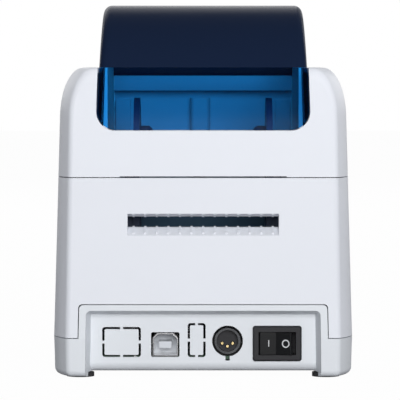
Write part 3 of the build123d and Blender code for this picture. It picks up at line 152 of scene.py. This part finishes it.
# Moulded plastic: spark-eroded grain over faint cloudiness. Far enough across from the middle,
#  a second colour may be painted on there, as painted light on side walls.
def mouldedPlastic(name, colour, rough, grain, depth, tone, specular=0.5, paintedLightColour=None, paintedLightFrom=0.0):
    paint = Paint(name)
    cloud = paint.noise(scale=28.0, detail=3.0)
    speck = paint.noise(scale=1 / (grain * mm), roughness=0.6)
    base = paint.blend(cloud * 0.7 + speck * 0.3, shade(colour, 1 - tone), shade(colour, 1 + tone / 2))
    # painted light: beyond that distance across, the second, lighter colour is painted on
    if paintedLightColour:
        base = paint.blend(paint.maths("ABSOLUTE", paint.axis(0)) > paintedLightFrom, base, paintedLightColour)
    return paint.finish(paint.surface(
        Base_Color=base, Roughness=rough - 0.05 + 0.06 * speck + 0.04 * cloud,
        Normal=paint.bump(speck, depth * mm, 0.35), IOR=1.46, Specular_IOR_Level=specular))


# Polished plastic: nearly even, with the faint waviness of a moulded gloss face
def glossPlastic(name, colour, rough, tone=0.10, specular=0.5):
    paint = Paint(name)
    wave = paint.noise(scale=45.0)
    speck = paint.noise(scale=900.0)
    return paint.finish(paint.surface(
        Base_Color=paint.blend(wave, shade(colour, 1 - tone), shade(colour, 1 + tone)),
        Roughness=rough + 0.05 * speck, Normal=paint.bump(wave + 0.04 * speck, 0.06 * mm, 0.25),
        IOR=1.49, Specular_IOR_Level=specular))


# Clear tinted moulding with a dark coat above a level. Light for the inside is tinted less
# than what is seen through it.
def tintedWindow(name, tint, lampTint, edge, coatFrom, rough, skinSpecular, coatSpecular):
    paint = Paint(name)
    wave = paint.noise(scale=35.0)
    facing = paint.node("LayerWeight", None, {"Blend": 0.32}, out="Facing")
    mirror = 0.05 + 0.45 * paint.maths("POWER", facing, 2.4)
    gloss = dict(Base_Color=edge, Roughness=rough + 0.03 * wave, IOR=1.49,
                 Normal=paint.bump(wave, 0.05 * mm, 0.2))
    glaze = paint.either(mirror, paint.clear(tint), paint.surface(Specular_IOR_Level=skinSpecular, **gloss))
    coat = paint.surface(Specular_IOR_Level=coatSpecular, **gloss)
    seen = paint.either(paint.axis(2) > coatFrom, glaze, coat)
    return paint.finish(paint.either(paint.ray("Shadow"), seen, paint.clear(lampTint)))


# Sheet steel with a zinc coat, or a turned bright surface
def platedSteel(name, colour, rough=0.32, streak=(40.0, 900.0, 40.0), spangle=0.12):
    paint = Paint(name)
    lines = paint.noise(scale=1.0, detail=3.0, vector=paint.stretched(streak))
    cells = paint.node("TexVoronoi", None, {"Vector": paint.place(), "Scale": 320.0}, out="Color")
    flake = paint.node("SeparateColor", None, {"Color": cells})
    mottle = lines * (1 - spangle) + flake * spangle
    return paint.finish(paint.surface(
        Base_Color=paint.blend(mottle, shade(colour, 0.86), shade(colour, 1.08)),
        Metallic=1.0, Roughness=rough - 0.06 + 0.10 * lines + spangle * 0.3 * flake,
        Normal=paint.bump(lines, 0.01 * mm, 0.3)))


# Rubber: matt, ground, with a dusting of pale bloom
def groundRubber(name, colour, rough):
    paint = Paint(name)
    grind = paint.noise(scale=1100.0, detail=3.0, roughness=0.65)
    bloom = paint.noise(scale=120.0, detail=4.0)
    return paint.finish(paint.surface(
        Base_Color=paint.blend(bloom * 0.35 + grind * 0.2, colour, shade(colour, 2.4)),
        Roughness=rough - 0.08 + 0.12 * grind, Normal=paint.bump(grind, 0.03 * mm, 0.5)))


# Circuit board: solder mask over copper runs, with tinned pads
def circuitBoard(name, mask, copper, pad):
    paint = Paint(name)
    bricks = {"Vector": paint.place(), "Scale": 150.0, "Mortar Size": 0.06, "Mortar Smooth": 0.1,
              "Brick Width": 1.4, "Row Height": 0.32}
    runs = paint.node("TexBrick", {"offset": 0.37, "squash": 1.6, "squash_frequency": 3}, bricks, out="Fac")
    dots = {"Vector": paint.place(), "Scale": 260.0, "Randomness": 0.5}
    pads = paint.node("TexVoronoi", None, dots, out="Distance") < 0.16
    cloth = paint.noise(scale=900.0)
    base = paint.blend(pads * 0.85, paint.blend(runs, mask, copper), pad)
    return paint.finish(paint.surface(
        Base_Color=base, Metallic=pads * 0.8, Roughness=0.32 - 0.08 * pads + 0.05 * cloth,
        Normal=paint.bump(runs * 0.6 + pads + 0.15 * cloth, 0.03 * mm, 0.5)))


# Glazed ceramic with a faint printed heater line across it
def glazedCeramic(name, colour, line, lineY, lineHalf):
    paint = Paint(name)
    mottle = paint.noise(scale=240.0, detail=3.0)
    band = paint.maths("COMPARE", paint.axis(1), lineY * mm, lineHalf * mm)
    return paint.finish(paint.surface(
        Base_Color=paint.blend(band, paint.blend(mottle, shade(colour, 0.94), colour), line),
        Roughness=0.16 + 0.08 * mottle, Normal=paint.bump(mottle, 0.01 * mm, 0.3), Coat_Weight=0.4))


plastics = {
    "case_plastic": dict(colour=linear(226, 229, 236), rough=0.52, grain=0.45, depth=0.02, tone=0.02),
    "lid_plastic": dict(colour=linear(228, 231, 238), rough=0.52, grain=0.45, depth=0.02, tone=0.02),
    "bay_plastic": dict(colour=linear(196, 202, 210), rough=0.5, grain=0.5, depth=0.03, tone=0.04),
    "guide_plastic": dict(colour=linear(58, 74, 104), rough=0.45, grain=0.4, depth=0.02, tone=0.05),
    "dark_plastic": dict(colour=linear(40, 40, 43), rough=0.42, grain=0.35, depth=0.02, tone=0.1,
                         specular=0.2),
    "gear_plastic": dict(colour=linear(236, 232, 220), rough=0.36, grain=0.5, depth=0.01, tone=0.03),
    "socket_plastic": dict(colour=linear(206, 210, 216), rough=0.4, grain=0.3, depth=0.01, tone=0.03),
    "button_plastic": dict(colour=linear(150, 158, 172), rough=0.4, grain=0.3, depth=0.01, tone=0.03),
    "latch_plastic": dict(colour=linear(38, 78, 140), rough=0.4, grain=0.35, depth=0.02, tone=0.05),
    "chip": dict(colour=linear(34, 34, 36), rough=0.55, grain=0.25, depth=0.01, tone=0.12),
}
glosses = {
    "navy_gloss": dict(colour=linear(21, 31, 54), rough=0.16, specular=0.12),
    "light_pipe": dict(colour=linear(200, 224, 214), rough=0.2, tone=0.04),
}
metals = {
    "steel": dict(colour=(0.62, 0.63, 0.65)),
    "bright_steel": dict(colour=(0.78, 0.78, 0.79), rough=0.18, spangle=0.02),
    "aluminium": dict(colour=(0.80, 0.81, 0.82), rough=0.30, streak=(6.0, 900.0, 900.0), spangle=0.03),
    "motor_metal": dict(colour=(0.10, 0.105, 0.11), rough=0.38, spangle=0.05),
    "contact_metal": dict(colour=(0.85, 0.66, 0.33), rough=0.24, spangle=0.02),
}
windowLook = dict(tint=(0.15, 0.60, 0.94), lampTint=(0.90, 0.95, 0.98), edge=linear(24, 36, 60),
                  coatFrom=0.1472, rough=0.2, skinSpecular=0.3, coatSpecular=0.004)
boardLook = dict(mask=linear(7, 44, 26), copper=linear(14, 66, 38), pad=(0.72, 0.73, 0.74))
ceramicLook = dict(colour=linear(240, 238, 230), line=linear(120, 96, 60), lineY=-84.3, lineHalf=0.6)

finishes = {name: mouldedPlastic(name, **look) for name, look in plastics.items()}
finishes.update({name: glossPlastic(name, **look) for name, look in glosses.items()})
finishes.update({name: platedSteel(name, **look) for name, look in metals.items()})
finishes["tinted_window"] = tintedWindow("tinted_window", **windowLook)
finishes["rubber"] = groundRubber("rubber", linear(38, 38, 40), rough=0.8)
finishes["ceramic"] = glazedCeramic("ceramic", **ceramicLook)
finishes["board"] = circuitBoard("board", **boardLook)
print("materials made:", len(finishes))

# Liner: its side walls, more than 45.7 mm across from the middle, are painted near white, as painted light on
# walls the lamps barely reach
linerPaintedLightLook = dict(colour=linear(166, 174, 184), rough=0.5, grain=0.5, depth=0.03, tone=0.04,
                 paintedLightColour=linear(248, 249, 250), paintedLightFrom=0.0457)
# Label bay: dark blue-grey, painted shade with the painted blue of light through the window, for the inside seen
# through the slot
bayPaintedShadeLook = dict(colour=linear(78, 104, 124), rough=0.5, grain=0.5, depth=0.03, tone=0.04)
# Base shell: a little darker than the case, as painted shade for its recessed panel
basePaintedShadeLook = dict(colour=linear(221, 225, 230), rough=0.52, grain=0.45, depth=0.02, tone=0.02)
rockerLook = dict(colour=linear(17, 18, 20), rough=0.3, grain=0.35, depth=0.01, tone=0.1, specular=0.2)
ownFinish = {  # nodes that look unlike the rest of their slot
    "base_shell": mouldedPlastic("base_plastic_painted_shade", **basePaintedShadeLook),
    "lid_liner": mouldedPlastic("liner_plastic_painted_light", **linerPaintedLightLook),
    "label_bay": mouldedPlastic("bay_painted_shade", **bayPaintedShadeLook),
    "switch_rocker": mouldedPlastic("rocker_black", **rockerLook),
    "power_jack_shell": platedSteel("jack_steel", (0.07, 0.072, 0.076), rough=0.30, spangle=0.03),
}
for part in frame["record"]["subparts"]:
    mesh = nodes[part["node"]].data
    mesh.materials.clear()
    mesh.materials.append(ownFinish.get(part["node"]) or finishes[part["material_slot"]])


# A shape in millimetres becomes a piece at the origin, with its place in its mesh
def makePiece(name, shape, slot, body, finish=None, smooth=30):
    bmesh.ops.transform(shape, verts=shape.verts, matrix=Matrix.Scale(mm, 4))
    bmesh.ops.recalc_face_normals(shape, faces=shape.faces)
    mesh = bpy.data.meshes.new(name)
    shape.to_mesh(mesh)
    shape.free()
    piece = bpy.data.objects.new(name, mesh)
    bpy.context.scene.collection.objects.link(piece)
    mesh.materials.append(finish or finishes[slot])
    mesh.shade_smooth()
    mesh.set_sharp_from_angle(angle=math.radians(smooth))
    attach(piece, body)
    return piece


def vertsOf(result):  # the vertices that a bmesh operator made
    return [item for item in result["geom"] if isinstance(item, bmesh.types.BMVert)]


def roundEdges(shape, width):
    bmesh.ops.bevel(shape, geom=shape.edges[:], offset=width, segments=2, profile=0.5,
                    affect="EDGES", material=-1)


# White marks printed on the rocker: a bar on one half and a ring on the other
markSize = dict(thick=0.06, barHigh=3.1, barWide=0.42, barEdge=0.02, barReach=3.3,
                ringOut=1.95, ringIn=1.4, ringReach=4.9, segments=40)
rocker = dict(tilt=9.0, rise=4.0, dip=2.0, half=7.9)  # rise: of the face's middle over the pivot
rockerPivot = [joint["pos_m"] for joint in frame["joints"] if joint["name"] == "power_rock"][0]


def markPlace(side, reach):  # a spot on one half of the rocker's face, and the way it faces
    slope = math.atan2(rocker["dip"], rocker["half"])
    along = side * reach
    spot = Vector((along, rocker["rise"] + abs(along) * math.tan(slope), 0))
    turn = Matrix.Rotation(math.radians(-rocker["tilt"]), 4, "Z")
    place = Matrix.Translation(Vector(rockerPivot) / mm) @ turn
    return place @ Matrix.Translation(spot) @ Matrix.Rotation(side * slope, 4, "Z")


def whiteInk():
    paint = Paint("mark_white")
    fleck = paint.noise(scale=1500.0)
    base = paint.blend(fleck, linear(205, 207, 210), linear(226, 228, 230))
    return paint.finish(paint.surface(Base_Color=base, Roughness=0.45 + 0.1 * fleck))


def barShape():
    shape = bmesh.new()
    bmesh.ops.create_cube(shape, size=1.0)
    size = (markSize["barWide"], markSize["thick"], markSize["barHigh"])
    bmesh.ops.scale(shape, verts=shape.verts, vec=size)
    roundEdges(shape, markSize["barEdge"])
    bmesh.ops.transform(shape, verts=shape.verts, matrix=markPlace(1, markSize["barReach"]))
    return shape


def ringShape():
    shape = bmesh.new()
    bmesh.ops.create_circle(shape, cap_ends=False, segments=markSize["segments"], radius=markSize["ringOut"])
    inner = vertsOf(bmesh.ops.extrude_edge_only(shape, edges=shape.edges[:]))
    share = markSize["ringIn"] / markSize["ringOut"]
    bmesh.ops.scale(shape, verts=inner, vec=(share, share, 1.0))
    top = vertsOf(bmesh.ops.extrude_face_region(shape, geom=shape.faces[:]))
    bmesh.ops.translate(shape, verts=top, vec=(0, 0, markSize["thick"]))
    stand = Matrix.Rotation(math.radians(-90), 4, "X")
    bmesh.ops.transform(shape, verts=shape.verts, matrix=markPlace(-1, markSize["ringReach"]) @ stand)
    return shape


ink = whiteInk()
makePiece("mark_bar", barShape(), "socket_plastic", "power_rocker", ink)
makePiece("mark_ring", ringShape(), "socket_plastic", "power_rocker", ink)
print("rocker marks made")


# Wound springs over the print head, in place of the plain sleeves
springs = dict(radius=4.0, wire=0.42, turns=5, steps=24, ring=8, gap=0.05)  # gap: to each end of the sleeve


def springShape():
    low, high = (Vector(corner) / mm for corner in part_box("head_springs"))
    y = (low.y + high.y) / 2
    reach = springs["radius"] - springs["wire"]
    bottom = low.z + springs["gap"] + springs["wire"]
    top = high.z - springs["gap"] - springs["wire"]
    count = springs["turns"] * springs["steps"]
    shape = bmesh.new()
    for side in (-1, 1):
        x = side * (high.x - springs["radius"])
        made = bmesh.ops.create_circle(shape, cap_ends=False, segments=springs["ring"],
                                       radius=springs["wire"])
        ring = made["verts"]
        edges = list({edge for vert in ring for edge in vert.link_edges})
        upright = Matrix.Rotation(math.radians(90), 3, "X")
        bmesh.ops.rotate(shape, verts=ring, cent=(0, 0, 0), matrix=upright)
        bmesh.ops.translate(shape, verts=ring, vec=(x + reach, y, bottom))
        bmesh.ops.spin(shape, geom=ring + edges, cent=(x, y, 0), axis=(0, 0, 1),
                       dvec=(0, 0, (top - bottom) / count), angle=2 * math.pi * springs["turns"], steps=count)
    bmesh.ops.holes_fill(shape, edges=[edge for edge in shape.edges if edge.is_boundary], sides=0)
    return shape


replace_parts(makePiece("coil_springs", springShape(), "bright_steel", "lid", smooth=60), "head_springs")
print("springs wound")


# Step at the top of the bulkhead in the lid, which shows through the window: a shelf
# that runs back from the bulkhead, with an upright lip at its end
bulkheadStep = dict(half=45.9, back=-44.6, lip=-34.0, low=134.8, top=142.6, thick=1.6, bevel=0.35)


def stepShape():
    back, lip, low, top = (bulkheadStep[key] for key in ("back", "lip", "low", "top"))
    inner = lip - bulkheadStep["thick"]
    floor = low + bulkheadStep["thick"]
    corners = [(back, low), (lip, low), (lip, top), (inner, top), (inner, floor), (back, floor)]
    half = bulkheadStep["half"]
    shape = bmesh.new()
    profile = shape.faces.new([shape.verts.new((-half, y, z)) for y, z in corners])
    far = vertsOf(bmesh.ops.extrude_face_region(shape, geom=[profile]))
    bmesh.ops.translate(shape, verts=far, vec=(2 * half, 0, 0))
    roundEdges(shape, bulkheadStep["bevel"])
    return shape


makePiece("bulkhead_step", stepShape(), "bay_plastic", "lid", ownFinish["lid_liner"])
print("bulkhead step made")


# Stage: pale floor, white surroundings, soft lamps, and the photograph's view. Places and
# sizes are millimetres.
stage = dict(eye=(1.5, 1606.0, 152.0), aim=(1.5, 106.0, 84.7), lens=286.2, sensor=36.0, clipStart=10.0,
             floor=10000.0, floorDrop=0.1)
stageTone = dict(paperLow=(0.30, 0.30, 0.31), paperHigh=(0.34, 0.34, 0.35), glow=1.04, glowShare=0.94,
                 white=(1.0, 1.0, 1.0), room=(0.13, 0.135, 0.145))


def makeFloor():
    paint = Paint("floor_paper")
    grain = paint.noise(scale=60.0, detail=3.0)
    tone = paint.blend(grain, stageTone["paperLow"], stageTone["paperHigh"])
    paper = paint.node("BsdfDiffuse", None, {"Color": tone})
    glow = paint.node("Emission", None, {"Color": stageTone["white"], "Strength": stageTone["glow"]})
    look = paint.finish(paint.either(paint.ray("Camera") * stageTone["glowShare"], paper, glow))
    shape = bmesh.new()
    bmesh.ops.create_grid(shape, x_segments=8, y_segments=8, size=stage["floor"] / 2 * mm)
    bmesh.ops.translate(shape, verts=shape.verts, vec=(0, 0, -stage["floorDrop"] * mm))
    mesh = bpy.data.meshes.new("floor")
    shape.to_mesh(mesh)
    shape.free()
    floor = bpy.data.objects.new("floor", mesh)
    bpy.context.scene.collection.objects.link(floor)
    mesh.materials.append(look)


def makeWorld():  # white to the eye, in mirrors and through glass, and dim as a light
    paint = Paint("studio", bpy.data.worlds.new("studio"))
    shown = paint.maths("MAXIMUM", paint.maths("MAXIMUM", paint.ray("Camera"), paint.ray("Glossy")),
                        paint.ray("Transmission"))
    tone = paint.blend(shown, stageTone["room"], stageTone["white"])
    back = paint.node("Background", None, {"Color": tone, "Strength": 1.0})
    bpy.context.scene.world = paint.finish(back, "OutputWorld")


# Soft boxes, in metres and watts, aimed at the middle of the object
lampAim = Vector((0, 0, 0.09))
lamps = {
    "key_box": dict(place=(-0.2, 2.0, 0.6), size=(1.1, 0.9), power=34.0),
    "side_box": dict(place=(-1.5, 0.3, 0.6), size=(0.8, 0.8), power=2.6),
    "front_box": dict(place=(0.3, -1.8, 1.0), size=(1.2, 1.0), power=5.0),
    "left_side_box": dict(place=(1.25, -1.6, 0.6), size=(0.7, 0.8), power=8.0),
    "right_side_box": dict(place=(-1.25, -1.6, 0.6), size=(0.7, 0.8), power=8.0),
    "top_box": dict(place=(0.0, 0.1, 1.7), size=(1.2, 1.2), power=1.4),
}


def lookAt(thing, eye, aim):
    thing.location = eye
    thing.rotation_euler = (aim - eye).to_track_quat("-Z", "Y").to_euler()
    bpy.context.scene.collection.objects.link(thing)


def addLamp(name, place, size, power):
    light = bpy.data.lights.new(name, "AREA")
    light.shape = "RECTANGLE"
    light.size, light.size_y = size
    light.energy = power
    lookAt(bpy.data.objects.new(name, light), Vector(place), lampAim)


def makeCamera():
    camera = bpy.data.objects.new("camera", bpy.data.cameras.new("camera"))
    lookAt(camera, Vector(stage["eye"]) * mm, Vector(stage["aim"]) * mm)
    camera.data.sensor_width = stage["sensor"]
    camera.data.lens = stage["lens"]
    camera.data.clip_start = stage["clipStart"] * mm
    bpy.context.scene.camera = camera


makeFloor()
makeWorld()
for name, lamp in lamps.items():
    addLamp(name, **lamp)
makeCamera()
bpy.context.scene.view_settings.view_transform = "Standard"
print("stage set")
